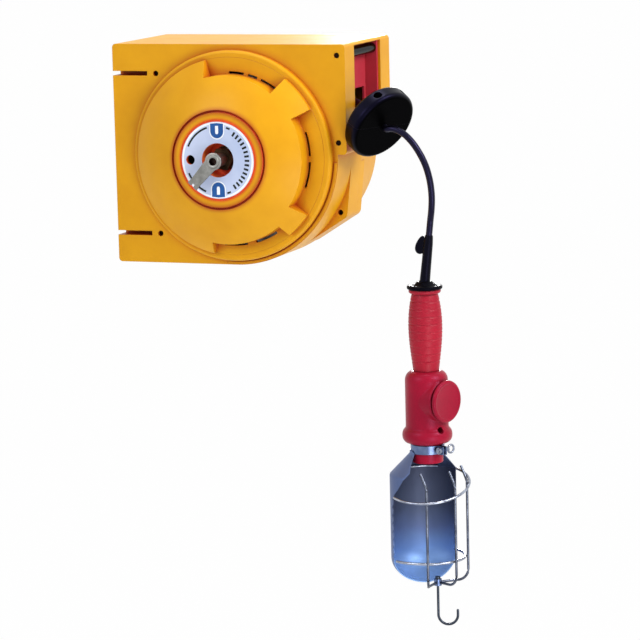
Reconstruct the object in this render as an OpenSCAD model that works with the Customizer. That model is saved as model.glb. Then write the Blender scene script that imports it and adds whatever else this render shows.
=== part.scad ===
// Wall-mounted spring-return cord reel with a caged inspection hand lamp.
// Millimetres. +X runs from the wall to the cord mouth, -Y is the dial side, +Z is up.
// The origin is the centre of the flat face that goes against the wall bracket.

/* [Housing] */
// Length of the housing from the wall face to the mouth face
body_w = 265; // [255:1:275]
// Height of the housing
body_h = 235; // [229:1:241]
// Depth of the housing between its two flat sides
body_d = 140; // [134:1:152]
// Radius of the round end of the housing
volute_r = 117; // [114:0.5:117.5]
// Distance from the wall face to the drum axis
axis_x = 138; // [134:1:142]
// Wall thickness of the moulded shells
wall = 3; // [2.4:0.2:3.6]
// Corner radius of the housing outline
corner_r = 4; // [2:0.5:8]
// Height of the raised bead round the flat side
bead_h = 1.6; // [1:0.2:2.4]
// How far the bottom and the round end draw in towards the back
draft = 7; // [5:0.5:8]

/* [Bracket seat] */
// Depth of the two slots that take the bracket arms
slot_depth = 40; // [34:1:40]
// Opening height of a bracket slot
slot_h = 4.8; // [4.6:0.1:5.4]
// Height of the bracket slots above and below the middle
slot_z = 86; // [82:1:90]
// Radius of the bracket bolt holes
bolt_r = 3.25; // [2.6:0.05:4.2]
// Spacing of the bracket bolts across the housing
bolt_y = 80; // [60:1:100]
// Spacing of the bracket bolts up the housing
bolt_z = 100; // [80:1:120]

/* [Mouth] */
// Underside of the box-shaped mouth
mouth_z = 2; // [-2:0.5:6]
// Width of the mouth opening
mouth_w = 82; // [78:1:86]
// Radius of the two mouth rollers
roller_r = 5.5; // [4.5:0.1:6]
// Radius of the roller pins
roller_pin_r = 2; // [1.5:0.1:2.6]

/* [Spring cover] */
// Outside radius of the round cover's flange
cover_r = 112; // [109:0.5:112.5]
// Height of the flange above the flat side
cover_step = 9; // [7:0.5:11]
// Height of the dome above the flat side
cover_h = 46; // [43:0.5:50]
// Radius of the hub plate in the middle of the dome
hub_r = 50.2; // [49:0.2:52]
// Width of the round gap about the hub plate
hub_gap = 2.4; // [1:0.1:2.6]
// Radius of the dial plate
dial_r = 40.5; // [38.5:0.5:43]
// Radius of the recess round the shaft nut
recess_r = 18; // [17:0.5:19.5]

/* [Drum] */
// Radius of the main shaft
shaft_r = 7; // [6:0.25:8]
// Outside radius of the drum core
core_r = 50; // [46:1:52]
// Outside radius of the drum flanges
flange_r = 99; // [94:1:101]
// Clear width between the drum flanges
drum_w = 90; // [84:1:92]
// Number of teeth of the ratchet ring
ratchet_teeth = 12; // [10:1:14]
// Turns of the power spring
spring_turns = 7; // [5:1:9]

/* [Cord] */
// Outside diameter of the cord
cord_d = 7; // [6.4:0.1:7.4]
// Radius of the split cord stop
stop_r = 40; // [37:0.5:41]
// Thickness of the cord stop
stop_t = 18; // [16:0.5:19]

/* [Lamp] */
// Radius of the rubber end cap
cap_r = 18.8; // [17.5:0.1:20]
// Length of the hand grip
grip_l = 87; // [80:1:96]
// Largest radius of the grip
grip_r = 18; // [17:0.1:19]
// Radius of the lamp body
lamp_r = 22.8; // [22:0.1:24]
// Length of the lamp body
lamp_l = 77.5; // [76:0.5:86]
// Radius of the round switch cap
switch_r = 22.5; // [21.75:0.25:22.75]
// Travel of the switch cap
switch_travel = 2; // [1.5:0.1:2.5]
// Radius of the bulb socket bore
socket_r = 13.4; // [13:0.1:13.8]

/* [Reflector and cage] */
// Outside radius of the half-round reflector
shade_r = 41; // [39:0.5:43]
// Length of the reflector from collar to tip
shade_l = 145; // [135:1:150]
// Sheet thickness of the reflector
shade_t = 1; // [0.8:0.1:1.4]
// Radius of the cage wire
wire_r = 1.4; // [1.2:0.1:1.6]
// Bend radius of the hanging hook
hook_r = 10.5; // [9:0.5:13]

/* [Hidden] */
$fn = 96;
eps = 0.01;
run = 0.05;          // radial running clearance of a turning fit
seat = 0.3;          // gap between neighbours that do not turn on each other
axis_z = volute_r - body_h / 2;
front_y = -body_d / 2;
back_y = body_d / 2;
inner_front = front_y + wall;
inner_back = back_y - wall;
top_z = body_h / 2;
bead_w = 3.6;
bead_in = 0.6;

// Mouth
mouth_top = top_z - wall;
guide_x = body_w - 19;
guide_t = 2.5;
guide_y = mouth_w / 2 - 1;
roller_x = body_w - wall - roller_r - 0.5;
upper_z = mouth_top - roller_r - 3;
lower_z = mouth_z + wall + roller_r + 4;
slot_low = 40;
slot_high = 65;
cord_gap_w = 34;

// Case screws: three join the shells, two hold the mouth guide
case_screw_x = 50;
slot_wall = 2;
slot_in = 20;
lug_x = 241;
lug_z = -64.5;
lug_r = 8;
lug_front = -28;
lug_back = 14;
screw_r = 1.75;
head_r = 2.8;
head_h = 3;
sink_r = 3;
sink_depth = 6;
boss_r = 6;
screw_grip = 9;

// Cover: a cap of a sphere through the flange edge and the hub edge
cover_wall = 3;
dome_r = cover_r - 7;
dome_edge_h = cover_step + 6;
dome_top_h = cover_h - 1;
dome_drop = (dome_r * dome_r + dome_edge_h * dome_edge_h
             - pow(hub_r + 3, 2) - dome_top_h * dome_top_h)
            / (2 * (dome_top_h - dome_edge_h));
sphere_r = sqrt(pow(hub_r + 3, 2) + pow(dome_top_h + dome_drop, 2));
pocket_rise = 0.4;
wide = dome_r - 18;
narrow = dome_r - 13;
pockets = [[52, 104, wide], [-35, 29, wide], [-101, -51, narrow]];
vents = [[79, 90, wide], [69, 76, wide], [50, 66, wide], [1, 17.5, wide], [-21, -3, wide],
         [-96, -80, narrow], [-74, -58, narrow]];
vent_in = 0.6;
vent_w = 2.6;
shell_hole_r = cover_r - 11;
hub_seat = 4;
recess_floor = 22;
hub_wall = 3;
dial_t = 0.8;
lock_hole_r = 5;
lock_hole_at = 31;

// Shaft, drum and spring, all along Y
shaft_front = front_y - cover_h - 15;
shaft_back = inner_back - 4;
lever_t = 2.6;
lever_l = 34;
lever_turn = 227;
drum_t = 3;
drum_front = -52;
drum_back = drum_front + drum_w;
bush_r = shaft_r + 3;
case_r = 74;
case_l = 29;
case_wall = 2.5;
case_back = drum_front - drum_t;
case_front = case_back - case_l;
arbor_r = shaft_r + 6;
arbor_l = 24;
spring_t = 0.8;
spring_w = 22;
spring_in = arbor_r + 3;
spring_out = case_r - case_wall - 0.3;
ring_root = 66;
ring_tip = 72;
ring_in = 56;
ring_t = 6;
ratchet_y = drum_back + drum_t;
pawl_pivot_r = 88;
pawl_angle = 205;
pawl_l = 24;
pawl_t = 5;
pawl_pin_r = 3;
pawl_y = ratchet_y + 0.5;
pawl_x = axis_x + pawl_pivot_r * cos(pawl_angle);
pawl_z = axis_z + pawl_pivot_r * sin(pawl_angle);
slip_r = 38;
slip_t = 7;
slip_ring_t = 1.5;
slip_tracks = [17.5, 24.5, 31.5];
slip_face = ratchet_y + slip_t + slip_ring_t;
brush_w = 5;
brush_gap = 0.3;
gland_x = axis_x - 78;
gland_z = axis_z - 57.5;
gland_r = 9;
gland_bore = 4.2;
gland_l = 16;

// Cord: the stop's axis fixes where the lead and the free cord meet
cord_r = cord_d / 2;
cord_sides = 8;
stop_at = [296.5, -55.7, 35.6];
stop_tilt = 121.2;
stop_yaw = -27.3;
stop_round = 5;
stop_split = 0.4;
stop_screw_y = 18;
stop_axis = [sin(stop_tilt) * cos(stop_yaw), sin(stop_tilt) * sin(stop_yaw), cos(stop_tilt)];
function on_stop(s) = stop_at + s * stop_axis;
wind_turns = 10;
wind_pitch = 8.2;
wind_sides = 6;
wind_rings = 24;
wind_core_r = core_r + 13.4;
wind_r = (wind_core_r + cord_r + 0.3) / cos(180 / wind_rings);
lead_route = [
    [156, -20, 72.6], [163, -20, 71.4], [178, -20.5, 68.9], [194, -21.2, 66.3], [211, -22.4, 63.6],
    [228, -24, 60.9], [244, -26.3, 58.4], [254, -28.8, 56.6], [262, -32, 54.6], [268, -36.2, 52.5]];
lead_points = concat(lead_route, [on_stop(-22), on_stop(-15), on_stop(-9), on_stop(stop_t / 2)]);

// Lamp, measured down from the top of its rubber cap
lamp_at = [340, -46, -136.5];
lamp_front = -28;
switch_front = -21;
sleeve_r = 5.6;
sleeve_top = 53;
sleeve_lean = 6.5;
sleeve_foot = 4.5;
function on_sleeve(s) = lamp_at + s * [sin(sleeve_lean), 0, cos(sleeve_lean)];
free_route = [
    [313.6, -61.4, 29.4], [324.8, -62, 24.8], [334.6, -61.4, 15.4], [342.3, -60, 3.4], [347.4, -58.4, -8],
    [350.4, -56.6, -19.6], [352, -54.9, -31.4], [352.1, -52.8, -44], [350.6, -50.2, -56.4]];
free_points = concat([on_stop(stop_t / 2), on_stop(stop_t / 2 + 4)], free_route,
                     [on_sleeve(69), on_sleeve(62), on_sleeve(sleeve_top)]);
ear_z = 43;
ear_l = 20;
ear_w = 16;
ear_t = 3;
cap_t = 4.4;
grip_neck = 13.6;
grip_top = -cap_t;
grip_end = grip_top - grip_l;
grip_rings = 9;
grip_ring_gap = 8;
body_end = grip_end - lamp_l;
rim_r = 8.5;
rim_at = 18;
neck_r = 16.5;
neck_l = 21;
boss_z = grip_end - 31;
boss_face = lamp_r + 0.1;
cap_gap = switch_travel + 0.4;
switch_cap_t = 4;
stem_r = 4;
stem_l = 9;
socket_wall = 1.5;
socket_l = 24;
socket_z = body_end - neck_l + 3;
collar_t = 1.5;
collar_w = 9;
collar_top = body_end - 1.5;
collar_in = neck_r + run;
collar_out = collar_in + collar_t;
ear_gap = 3;
shade_top = collar_top - collar_w + 3;
shade_neck = shade_top - 4;
shade_drop = 22.5;
shade_shoulder = shade_neck - shade_drop;
shade_tip = shade_top - shade_l;
shade_dome = 29;
shade_angle = 166;
shade_round = shade_tip + shade_dome;
ring1_z = shade_shoulder - 12;
ring2_z = shade_round - 0.5;
ring1_tilt = 15;
ring1_low = -56;
cage_r = shade_r;
ring1_r = cage_r + 2 * wire_r;
ring2_r = cage_r - 2 * wire_r;
cone_run = shade_r - shade_t - collar_out;
cone_drop = shade_drop + 0.2;
back_ring_drop = 13;
back_ring_r = collar_out + cone_run * (back_ring_drop + 0.6) / cone_drop
              - (wire_r + 0.03) * norm([cone_run, cone_drop]) / cone_drop;
wire_angles = [-46, 0, 46];
cage_out = 12;
hook_top = shade_tip + 2;
bush_half = 3.5;
hook_stem = 35.5;
hook_turn = 10;
cage_bend = 12;

// ---------- helpers ----------

// Extrudes an outline in the X-Z plane from y0 to y1
module across(y0, y1) {
    rotate([90, 0, 0]) translate([0, 0, -y1]) linear_extrude(y1 - y0) children();
}

// Puts a turned shape on the drum axis; its own +Z then points to the front (-Y)
module on_axis(x = axis_x, z = axis_z) {
    translate([x, 0, z]) rotate([90, 0, 0]) children();
}

// A cylinder along Y from y0 to y1
module rod_y(r, y0, y1, x = axis_x, z = axis_z) {
    translate([x, y1, z]) rotate([90, 0, 0]) cylinder(r = r, h = y1 - y0);
}

// A ring sector on the drum axis, between two radii, two heights and two angles
module sector(r0, r1, h0, h1, a0, a1) {
    rotate([0, 0, a0]) rotate_extrude(angle = a1 - a0)
        translate([r0, h0]) square([r1 - r0, h1 - h0]);
}

module rounded_square(x0, z0, x1, z1, r) {
    translate([x0 + r, z0]) square([x1 - x0 - 2 * r, z1 - z0]);
    translate([x0, z0 + r]) square([x1 - x0, z1 - z0 - 2 * r]);
    for (x = [x0 + r, x1 - r], z = [z0 + r, z1 - r]) translate([x, z]) circle(r);
}

// Side outline of the housing, drawn in by inset
module body_outline(inset = 0) {
    r = max(corner_r - inset, 1);
    rounded_square(inset, -body_h / 2 + inset, axis_x, body_h / 2 - inset, r);
    translate([axis_x - 20, 0]) square([20, body_h / 2 - inset]);
    translate([axis_x - 20, -body_h / 2 + inset]) square([20, body_h / 2]);
    translate([axis_x, axis_z]) circle(volute_r - inset);
    rounded_square(axis_x - 30, mouth_z + inset, body_w - inset, top_z - inset, r);
}

// Screw lug with flanks tangent to the round end
module lug_outline() {
    reach = norm([lug_x - axis_x, lug_z - axis_z]);
    lean = atan2(lug_z - axis_z, lug_x - axis_x);
    open = acos((volute_r - lug_r) / reach);
    function at(c, r, a) = [c[0] + r * cos(a), c[1] + r * sin(a)];
    centre = [axis_x, axis_z];
    lug = [lug_x, lug_z];
    difference() {
        union() {
            translate(lug) circle(lug_r);
            polygon([at(centre, volute_r, lean - open), at(lug, lug_r, lean - open),
                     at(lug, lug_r, lean + open), at(centre, volute_r, lean + open), lug / 2 + centre / 2]);
        }
        translate(centre) circle(volute_r - wall);
    }
}

module case_screw_places() {
    for (z = [slot_z, -slot_z]) translate([case_screw_x, 0, z]) children();
}

function unit(v) = v / norm(v);
function away(points, i) =
    unit(points[min(i + 1, len(points) - 1)] - points[max(i - 1, 0)]);

// A tube swept along a route; side is a direction that the route never points along
module swept_tube(points, r, sides, side = [0, 1, 0]) {
    rings = [for (i = [0 : len(points) - 1])
        let (t = away(points, i), u = unit(cross(side, t)), v = cross(t, u))
        for (k = [0 : sides - 1])
            points[i] + r * (cos(360 * k / sides) * u + sin(360 * k / sides) * v)];
    last = len(points) - 1;
    walls = [for (i = [0 : last - 1], k = [0 : sides - 1])
        let (a = i * sides + k, b = i * sides + (k + 1) % sides)
        each [[a, a + sides, b], [b, a + sides, b + sides]]];
    ends = [for (k = [1 : sides - 2])
        each [[0, k, k + 1], [last * sides, last * sides + k + 1, last * sides + k]]];
    polyhedron(rings, concat(walls, ends), convexity = 6);
}

// ---------- housing ----------

// What the draft takes off the bottom and the round end of the back half; inset moves it inwards
module drafted(inset = 0) {
    fall = draft / 70;
    top = volute_r + fall * 3 - inset;
    on_axis() rotate([0, 0, -90]) rotate_extrude(angle = 91)
        polygon([[top, 1], [volute_r + 10, 1], [volute_r + 10, -73], [top - fall * 74, -73]]);
    translate([-1, 0, axis_z]) rotate([90, 0, 90]) linear_extrude(axis_x + 1)
        polygon([[-1, -top], [-1, -volute_r - 10], [73, -volute_r - 10], [73, -top + fall * 74]]);
}

module shell_half(y0, y1, inner0, inner1) {
    slot_y = y0 < 0 ? y0 : y1 - slot_in;
    difference() {
        union() {
            difference() {
                across(y0, y1) body_outline();
                difference() {
                    across(inner0, inner1) body_outline(wall);
                    if (y0 == 0) drafted(wall);
                }
                if (y0 == 0) drafted();
            }
            // Closed pockets behind the bracket slots
            for (z = [slot_z, -slot_z])
                translate([wall / 2, slot_y + (y0 < 0 ? wall / 2 : -slot_wall), z - slot_h / 2 - slot_wall])
                    cube([slot_depth + slot_wall - wall / 2, slot_in + slot_wall - wall / 2, slot_h + 2 * slot_wall]);
        }
        // Mouth opening through the end wall
        translate([body_w - wall - eps, -mouth_w / 2, mouth_z + wall])
            cube([wall + 1, mouth_w, mouth_top - mouth_z - wall]);
        // Slots for the arms of the wall bracket
        for (z = [slot_z, -slot_z])
            translate([-1, slot_y - (y0 < 0 ? 1 : 0), z - slot_h / 2]) cube([slot_depth + 1, slot_in + 1, slot_h]);
        // Bolt holes for the wall bracket
        for (y = [-bolt_y / 2, bolt_y / 2], z = [-bolt_z / 2, bolt_z / 2])
            translate([-1, y, z]) rotate([0, 90, 0]) cylinder(r = bolt_r, h = wall + 2);
    }
}

module front_shell() {
    color("#dda02a") {
        difference() {
            union() {
                shell_half(front_y, 0, inner_front, eps);
                across(lug_front, 0) lug_outline();
                case_screw_places() rod_y(boss_r, inner_front - eps, 0, 0, 0);
                // Bead round the edge of the flat side
                on_axis() sector(volute_r - bead_w, volute_r - bead_in, -front_y - 1, -front_y + bead_h, -95, -3);
            }
            on_axis() translate([0, 0, -inner_front - 1]) cylinder(r = shell_hole_r, h = wall + 2);
            case_screw_places() {
                rod_y(sink_r, front_y - 1, front_y + sink_depth, 0, 0);
                rod_y(screw_r + run, front_y, 1, 0, 0);
            }
            rod_y(sink_r, lug_front - 1, lug_front + sink_depth, lug_x, lug_z);
            rod_y(screw_r + run, lug_front, 1, lug_x, lug_z);
            for (z = [upper_z, lower_z]) rod_y(sink_r, front_y - 1, inner_front + 1, roller_x, z);
        }
    }
}

module back_shell() {
    color("#d59a26") difference() {
        union() {
            shell_half(0, back_y, -eps, inner_back);
            across(0, lug_back) lug_outline();
            case_screw_places() rod_y(boss_r, 0, inner_back + eps, 0, 0);
            // Shaft bearing and pawl post
            rod_y(shaft_r + 5, slip_face + 1.5, inner_back + eps);
            rod_y(pawl_pin_r + 4, pawl_y + pawl_t + 0.5, inner_back + eps, pawl_x, pawl_z);
        }
        rod_y(shaft_r + run, 0, shaft_back + 0.5);
        rod_y(pawl_pin_r, 0, pawl_y + pawl_t + 14, pawl_x, pawl_z);
        case_screw_places() rod_y(screw_r, -1, screw_grip + 2, 0, 0);
        rod_y(screw_r, -1, screw_grip + 2, lug_x, lug_z);
        rod_y(gland_r - 2, inner_back - 1, back_y + 1, gland_x, gland_z);
        for (z = [upper_z, lower_z]) rod_y(sink_r, inner_back - 1, back_y + 1, roller_x, z);
        // Cooling slots
        for (i = [-3 : 3])
            translate([axis_x - 30, inner_back - 1, axis_z + i * 12 - 2]) cube([60, wall + 2, 4]);
    }
}

module spring_cover() {
    color("#e0a42c") difference() {
        on_axis() translate([0, 0, -front_y]) difference() {
            union() {
                rotate_extrude() polygon([[0, 0], [cover_r, 0], [cover_r, cover_step - 2.5],
                    [cover_r - 0.8, cover_step - 0.8], [cover_r - 2.5, cover_step], [0, cover_step]]);
                intersection() {
                    translate([0, 0, -dome_drop]) sphere(sphere_r, $fn = 180);
                    cylinder(r = dome_r, h = cover_h + 10);
                }
            }
            // Hollow under the dome
            difference() {
                translate([0, 0, -dome_drop]) sphere(sphere_r - cover_wall, $fn = 180);
                translate([0, 0, cover_h - hub_seat - hub_wall - 0.5]) cylinder(r = hub_r + 8, h = 20);
                for (p = pockets)
                    sector(p[2] - cover_wall, dome_r + 1, cover_step - cover_wall, cover_h,
                           p[0] - 2, p[1] + 2);
                difference() {
                    translate([0, 0, -sphere_r]) cylinder(r = sphere_r, h = 2 * sphere_r);
                    translate([0, 0, -1]) cylinder(r = dome_r - cover_wall, h = cover_h + 2);
                }
            }
            // Pockets round the rim
            for (p = pockets)
                sector(p[2], dome_r + 1, cover_step + pocket_rise, cover_h, p[0], p[1]);
            // Vent slots in the pocket floors
            for (v = vents)
                sector(v[2] + vent_in, v[2] + vent_in + vent_w, cover_step - cover_wall - 1,
                       cover_step + pocket_rise + 1, v[0], v[1]);
            // Seat of the hub plate
            translate([0, 0, cover_h - hub_seat]) cylinder(r = hub_r + hub_gap, h = 20);
            translate([0, 0, -1]) cylinder(r = recess_r + hub_wall + seat, h = cover_h);
            translate([-lock_hole_at, 0, cover_h / 2]) cylinder(r = lock_hole_r + 0.5, h = cover_h);
        }
    }
}

module hub_plate() {
    top = -front_y + cover_h;
    color("#dc9d28") on_axis() difference() {
        union() {
            translate([0, 0, top - hub_seat]) cylinder(r = hub_r, h = hub_seat);
            translate([0, 0, top - recess_floor - hub_wall])
                cylinder(r = recess_r + hub_wall, h = recess_floor + hub_wall);
        }
        translate([0, 0, top - recess_floor]) cylinder(r = recess_r, h = recess_floor + 1);
        translate([0, 0, top - recess_floor - hub_wall - 1]) cylinder(r = shaft_r + run, h = hub_wall + 2);
        translate([-lock_hole_at, 0, top - hub_seat - 1]) cylinder(r = lock_hole_r, h = hub_seat + 2);
        // Fine groove round the dial
        translate([0, 0, top - 1]) difference() {
            cylinder(r = dial_r + 2.2, h = 2);
            translate([0, 0, -1]) cylinder(r = dial_r + 0.6, h = 4);
        }
    }
}

module dial_plate() {
    color("#d5e0f0") on_axis() translate([0, 0, -front_y + cover_h]) difference() {
        cylinder(r = dial_r, h = dial_t);
        translate([0, 0, -1]) cylinder(r = recess_r, h = dial_t + 2);
        translate([-lock_hole_at, 0, -1]) cylinder(r = lock_hole_r, h = dial_t + 2);
    }
}

module case_screw(front, x, z) {
    rod_y(head_r, front + sink_depth - head_h, front + sink_depth, x, z);
    rod_y(screw_r, front + sink_depth - 1, screw_grip, x, z);
}

module housing_screws() {
    color("#55524a") {
        for (z = [slot_z, -slot_z]) case_screw(front_y, case_screw_x, z);
        case_screw(lug_front, lug_x, lug_z);
    }
}

// ---------- mouth ----------

module mouth_guide() {
    color("#a8243a") difference() {
        union() {
            translate([guide_x, -guide_y, mouth_z + wall + 0.2])
                cube([guide_t, 2 * guide_y, mouth_top - mouth_z - wall - 0.4]);
            for (s = [-1, 1]) {
                translate([guide_x, s > 0 ? guide_y - guide_t : -guide_y, mouth_z + wall + 0.2])
                    cube([body_w - wall - guide_x, guide_t, mouth_top - mouth_z - wall - 0.4]);
                translate([body_w - wall - guide_t, s > 0 ? guide_y - 1 : -guide_y - 6, mouth_z + wall + 0.2])
                    cube([guide_t, 7, mouth_top - mouth_z - wall - 0.4]);
            }
        }
        translate([guide_x - 1, -cord_gap_w, slot_low]) cube([guide_t + 2, 2 * cord_gap_w, slot_high - slot_low]);
        for (z = [upper_z, lower_z]) rod_y(roller_pin_r, -body_d, body_d, roller_x, z);
    }
}

module mouth_roller(z) {
    color("#17171a") difference() {
        rod_y(roller_r, -guide_y + guide_t + seat, guide_y - guide_t - seat, roller_x, z);
        rod_y(roller_pin_r + run, -guide_y, guide_y, roller_x, z);
    }
}
module upper_roller() { mouth_roller(upper_z); }
module lower_roller() { mouth_roller(lower_z); }

module roller_screws() {
    color("#55524a") for (z = [upper_z, lower_z]) {
        rod_y(roller_pin_r, inner_front - 1, inner_back + 1, roller_x, z);
        rod_y(head_r, inner_front - 2, inner_front + 1, roller_x, z);
        rod_y(head_r, inner_back - 1, inner_back + 2, roller_x, z);
    }
}

// ---------- shaft and spring ----------

module main_shaft() {
    color("#8c8c88") difference() {
        rod_y(shaft_r, shaft_front, shaft_back);
        rod_y(4.2, shaft_front - 1, shaft_front + 7);
    }
}

module shaft_nut() {
    top = -front_y + cover_h - recess_floor;
    color("#6e5a34") on_axis() translate([0, 0, top + 0.4]) difference() {
        union() {
            cylinder(r = 13, h = 1.6);
            translate([0, 0, 1.6]) cylinder(r = 12.5, h = 9, $fn = 6);
        }
        translate([0, 0, -1]) cylinder(r = shaft_r, h = 20);
    }
}

module tension_lever() {
    y = shaft_front + 1;
    color("#96968f") difference() {
        union() {
            rod_y(shaft_r + 2.2, y, y + lever_t);
            translate([axis_x, y + lever_t, axis_z]) rotate([90, 0, 0]) rotate([0, 0, lever_turn])
                translate([0, -5.6, 0]) cube([lever_l, 11.2, lever_t]);
            translate([axis_x, y + lever_t, axis_z]) rotate([90, 0, 0]) rotate([0, 0, lever_turn])
                translate([lever_l - 1, -6.5, -3]) cube([3.4, 13, lever_t + 3]);
        }
        rod_y(shaft_r, y - 1, y + lever_t + 1);
        translate([axis_x, y + lever_t, axis_z]) rotate([90, 0, 0]) rotate([0, 0, lever_turn])
            translate([lever_l - 3.5, -1.6, -4]) cube([8, 3.2, 12]);
    }
}

module spring_arbor() {
    color("#70706c") difference() {
        rod_y(arbor_r, case_back - 3.5 - arbor_l, case_back - 3.5);
        rod_y(shaft_r, case_back - 40, case_back);
        translate([axis_x + shaft_r + 2, case_back - 3 - arbor_l / 2, axis_z])
            cube([1.4, arbor_l + 4, 8], center = true);
    }
}

// Flat ribbon wound from the arbor out to the case
module power_spring() {
    steps = 22 * spring_turns;
    function at(i, off) = let (a = 360 * spring_turns * i / steps,
        r = spring_in + (spring_out - spring_in) * i / steps + off) [r * cos(a), r * sin(a)];
    color("#5a6068") on_axis() translate([0, 0, -case_back + 4]) linear_extrude(spring_w)
        polygon(concat([for (i = [0 : steps]) at(i, 0)], [for (i = [steps : -1 : 0]) at(i, -spring_t)]));
}

module spring_case() {
    color("#9aa0a6") difference() {
        rod_y(case_r, case_front, case_back);
        rod_y(case_r - case_wall, case_front - 1, case_back - 3);
        rod_y(bush_r + 1, case_back - 4, case_back + 1);
    }
}

// ---------- drum ----------

module drum_flange(y0, y1) {
    difference() {
        rod_y(flange_r, y0, y1);
        rod_y(bush_r, y0 - 1, y1 + 1);
    }
}
module drum_front_flange() {
    color("#b8b8b4") drum_flange(case_back, drum_front);
}
module drum_back_flange() {
    color("#b8b8b4") drum_flange(drum_back, drum_back + drum_t);
}

module drum_core() {
    color("#a8a8a4") difference() {
        rod_y(core_r, drum_front, drum_back);
        rod_y(core_r - 3, drum_front - 1, drum_back + 1);
    }
}

module drum_bushes() {
    color("#b08a4a") for (y = [case_back - 2, drum_back - 4]) difference() {
        rod_y(bush_r, y, y + drum_t + 4);
        rod_y(shaft_r + run, y - 1, y + drum_t + 5);
    }
}

// Sawtooth ring on the back flange
module ratchet_ring() {
    pitch = 360 / ratchet_teeth;
    start = 192 - 0.95 * pitch;
    function at(r, a) = [r * cos(a), r * sin(a)];
    color("#6a6a70") on_axis() translate([0, 0, -ratchet_y - ring_t]) linear_extrude(ring_t) difference() {
        polygon([for (i = [0 : ratchet_teeth - 1], k = [[0, 0], [0.4, 0.55], [0.75, 1], [0.82, 1], [0.86, 0]])
            at(ring_root + (ring_tip - ring_root) * k[1], start + (i + k[0]) * pitch)]);
        circle(ring_in);
    }
}

module ratchet_pawl() {
    color("#5e5e64") translate([pawl_x, pawl_y + pawl_t, pawl_z]) rotate([90, 0, 0]) rotate([0, 0, 70])
        linear_extrude(pawl_t) difference() {
            union() {
                circle(6.5);
                polygon([[0, -6], [pawl_l - 3, -3], [pawl_l, -0.6], [pawl_l, 1], [pawl_l - 6, 5], [0, 6]]);
            }
            circle(pawl_pin_r + run);
        }
}

module pawl_pin() {
    color("#8c8c88") rod_y(pawl_pin_r, pawl_y - 0.2, pawl_y + pawl_t + 13, pawl_x, pawl_z);
}

module slip_disc() {
    color("#7a3b2a") difference() {
        rod_y(slip_r, ratchet_y, ratchet_y + slip_t);
        rod_y(bush_r + 1, ratchet_y - 1, ratchet_y + slip_t + 1);
    }
}

module slip_rings() {
    color("#c79a45") for (r = slip_tracks) difference() {
        rod_y(r + 1.8, ratchet_y + slip_t, slip_face);
        rod_y(r - 1.8, ratchet_y, slip_face + 1);
    }
}

module brush_holder() {
    low = slip_tracks[0] - brush_w;
    color("#4a2a20") difference() {
        translate([axis_x - 7, slip_face + 4, axis_z + low])
            cube([14, inner_back - slip_face - 4, slip_tracks[2] + brush_w - low]);
        for (r = slip_tracks) translate([axis_x - brush_w / 2, slip_face, axis_z + r - brush_w / 2])
            cube([brush_w, 9.5, brush_w]);
    }
}

module carbon_brushes() {
    color("#2a2a2c") for (r = slip_tracks)
        translate([axis_x - brush_w / 2 + 0.1, slip_face + brush_gap, axis_z + r - brush_w / 2 + 0.1])
            cube([brush_w - 0.2, 9.2 - brush_gap, brush_w - 0.2]);
}

module feed_gland() {
    color("#1c1c1e") difference() {
        union() {
            rod_y(gland_r, back_y, back_y + 3, gland_x, gland_z);
            rod_y(gland_r - 2, inner_back - 4, back_y + 1, gland_x, gland_z);
            rod_y(gland_r - 2.5, back_y + 2, back_y + gland_l - 4, gland_x, gland_z);
        }
        rod_y(gland_bore, inner_back - 5, back_y + gland_l, gland_x, gland_z);
    }
}

// ---------- cord ----------

// Lower layers of cord on the drum
module cord_core() {
    color("#1a1a1c") difference() {
        rod_y(wind_core_r, drum_front + 0.3, drum_back - 0.3);
        rod_y(core_r, drum_front - 1, drum_back + 1);
    }
}

// Outer layer, one unbroken tube
wind_start = -wind_turns * wind_pitch / 2;
wind_points = [for (i = [0 : wind_turns * wind_rings])
    let (a = -360 * i / wind_rings + 90, s = wind_start + wind_pitch * i / wind_rings)
    [axis_x + wind_r * cos(a), (drum_front + drum_back) / 2 + s, axis_z + wind_r * sin(a)]];
wind_gap = min([for (k = [0 : wind_rings - 1], step = [-2 : 2])
    norm(wind_points[k + 2 * wind_rings] - wind_points[k + wind_rings + step])]) - cord_d;
echo(least_gap_of_winding_mm = wind_gap);

module cord_winding() {
    n = len(wind_points) - 1;
    function heading(i) = unit(wind_points[min(i + 1, n)] - wind_points[max(i - 1, 0)]);
    function out(i) = unit([wind_points[i][0] - axis_x, 0, wind_points[i][2] - axis_z]);
    rings = [for (i = [0 : n]) let (u = out(i), v = cross(heading(i), u)) for (k = [0 : wind_sides - 1])
        wind_points[i] + cord_r * (cos(360 * k / wind_sides) * u + sin(360 * k / wind_sides) * v)];
    walls = [for (i = [0 : n - 1], k = [0 : wind_sides - 1])
        let (a = i * wind_sides + k, b = i * wind_sides + (k + 1) % wind_sides)
        each [[a, a + wind_sides, b], [b, a + wind_sides, b + wind_sides]]];
    ends = [for (k = [1 : wind_sides - 2])
        each [[0, k, k + 1], [n * wind_sides, n * wind_sides + k + 1, n * wind_sides + k]]];
    color("#1a1a1c") polyhedron(rings, concat(walls, ends), convexity = 10);
}

module cord_lead() { color("#151517") swept_tube(lead_points, cord_r, cord_sides); }
module cord_free() { color("#151517") swept_tube(free_points, cord_r, cord_sides); }

// Puts a shape on the stop's axis: +Z out along the cord, -X up
module on_stop_axis() {
    translate(stop_at) rotate([0, stop_tilt, stop_yaw]) children();
}

module stop_blank() {
    rotate_extrude() {
        translate([0, -stop_t / 2]) square([stop_r - stop_round, stop_t]);
        translate([0, -stop_t / 2 + stop_round]) square([stop_r, stop_t - 2 * stop_round]);
        for (z = [-1, 1]) translate([stop_r - stop_round, z * (stop_t / 2 - stop_round)]) circle(stop_round);
    }
}

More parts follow.
